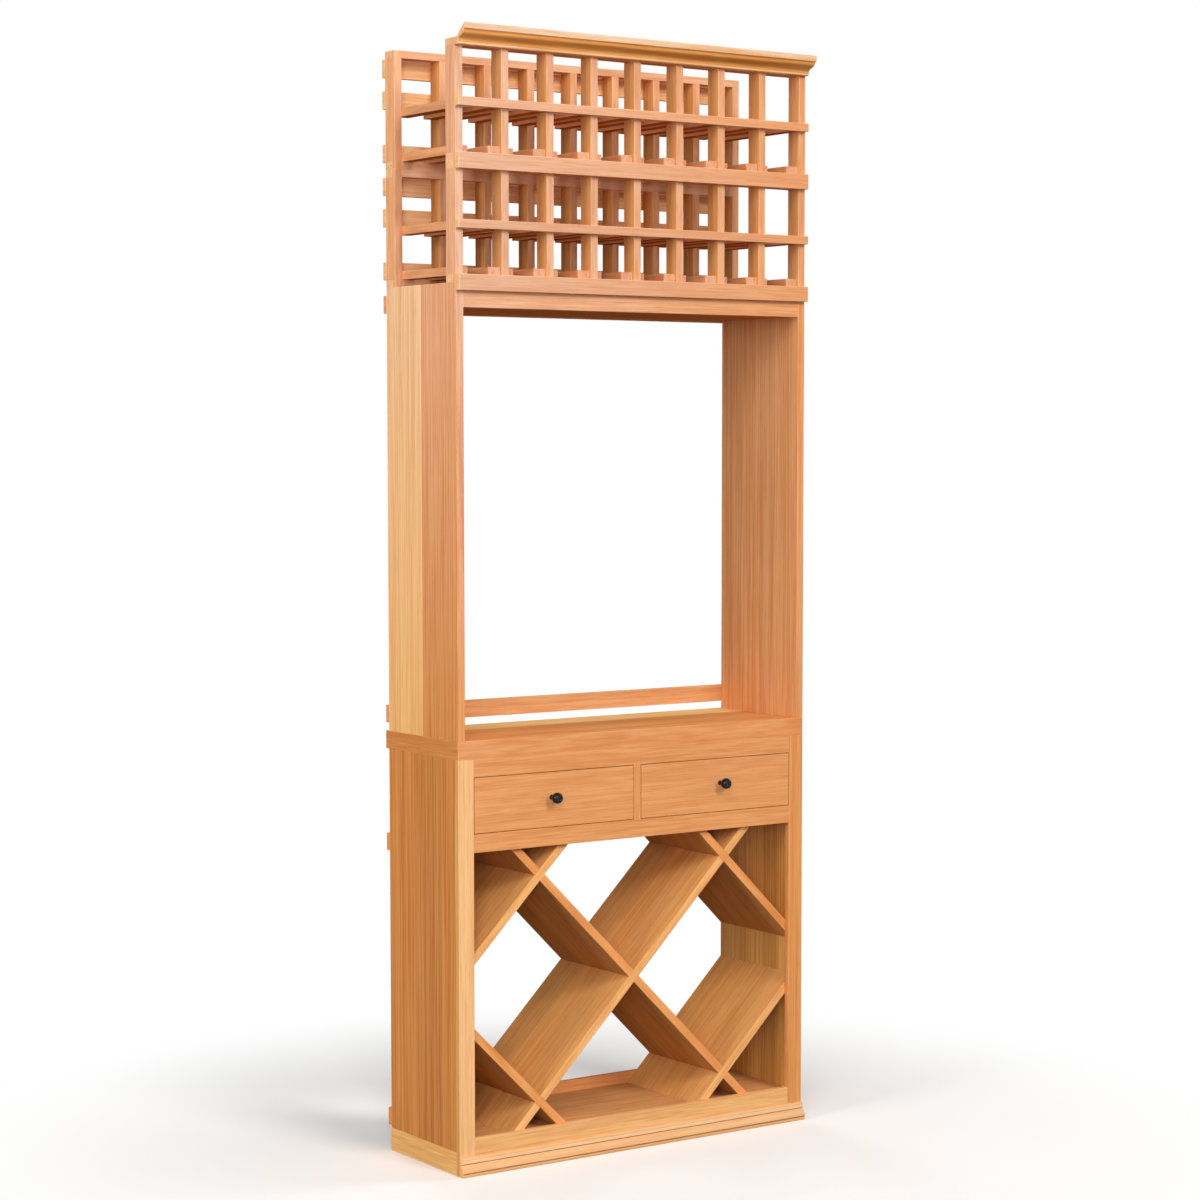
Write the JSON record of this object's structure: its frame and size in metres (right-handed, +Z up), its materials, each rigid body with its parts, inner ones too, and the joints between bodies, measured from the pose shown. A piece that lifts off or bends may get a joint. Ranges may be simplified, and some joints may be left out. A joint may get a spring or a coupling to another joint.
{
  "type": "wine tasting station",
  "caption": "Tall wooden wine tasting station: a base with diamond bottle bins and drawers, an open hutch over its counter, and open bottle racks under a crown moulding.",
  "frame": {"origin": "middle of the bounding box, on the floor", "axes": "+Z up, the front faces -Y, +X to the right seen from the front"},
  "size_m": [0.89, 0.3268, 2.3307],
  "materials": {
    "redwood": "fine vertical grain, bare or clear satin",
    "plywood": "thin plywood, clear satin",
    "black_metal": "satin black",
    "zinc_steel": "zinc plated"
  },
  "bodies": {
    "station": {"base_back_rails": "redwood", "base_moulding": "redwood", "base_side_left": "redwood", "base_side_right": "redwood", "bin_board_bottom_left": "redwood", "bin_board_bottom_right": "redwood", "bin_board_falling": "redwood", "bin_board_rising": "redwood", "bin_board_top_left": "redwood", "bin_board_top_right": "redwood", "bin_ceiling": "redwood", "bin_floor": "redwood", "bottom_rail": "redwood", "counter": "redwood", "crown_moulding": "redwood", "drawer_catches": "redwood", "drawer_guides": "redwood", "drawer_kickers": "redwood", "drawer_mullion": "redwood", "drawer_partition": "redwood", "drawer_rail": "redwood", "drawer_rear_stops": "redwood", "drawer_runners": "redwood", "face_stile_left": "redwood", "face_stile_right": "redwood", "hutch_back_rails": "redwood", "hutch_front_board_left": "redwood", "hutch_front_board_right": "redwood", "hutch_header": "redwood", "hutch_rear_board_left": "redwood", "hutch_rear_board_right": "redwood", "hutch_top_board": "redwood", "lower_rack_back_rails": "redwood", "lower_rack_back_stiles": "redwood", "lower_rack_cross_rails": "redwood", "lower_rack_front_rails": "redwood", "lower_rack_front_stiles": "redwood", "lower_rack_rungs": "redwood", "plinth_left": "redwood", "plinth_right": "redwood", "top_rail": "redwood", "upper_rack_back_rails": "redwood", "upper_rack_back_stiles": "redwood", "upper_rack_cross_rails": "redwood", "upper_rack_front_rails": "redwood", "upper_rack_front_stiles": "redwood", "upper_rack_rungs": "redwood"},
    "left_drawer": {"left_drawer_back": "redwood", "left_drawer_bottom": "plywood", "left_drawer_front": "redwood", "left_drawer_sides": "redwood", "left_knob": "black_metal", "left_knob_screw": "zinc_steel"},
    "right_drawer": {"right_drawer_back": "redwood", "right_drawer_bottom": "plywood", "right_drawer_front": "redwood", "right_drawer_sides": "redwood", "right_knob": "black_metal", "right_knob_screw": "zinc_steel"}
  },
  "joints": [
    {"name": "left_drawer_slide", "type": "slide", "parent": "station", "child": "left_drawer", "axis": [0, -1, 0], "range_m": [0, 0.2075]},
    {"name": "right_drawer_slide", "type": "slide", "parent": "station", "child": "right_drawer", "axis": [0, -1, 0], "range_m": [0, 0.2075]}
  ]
}
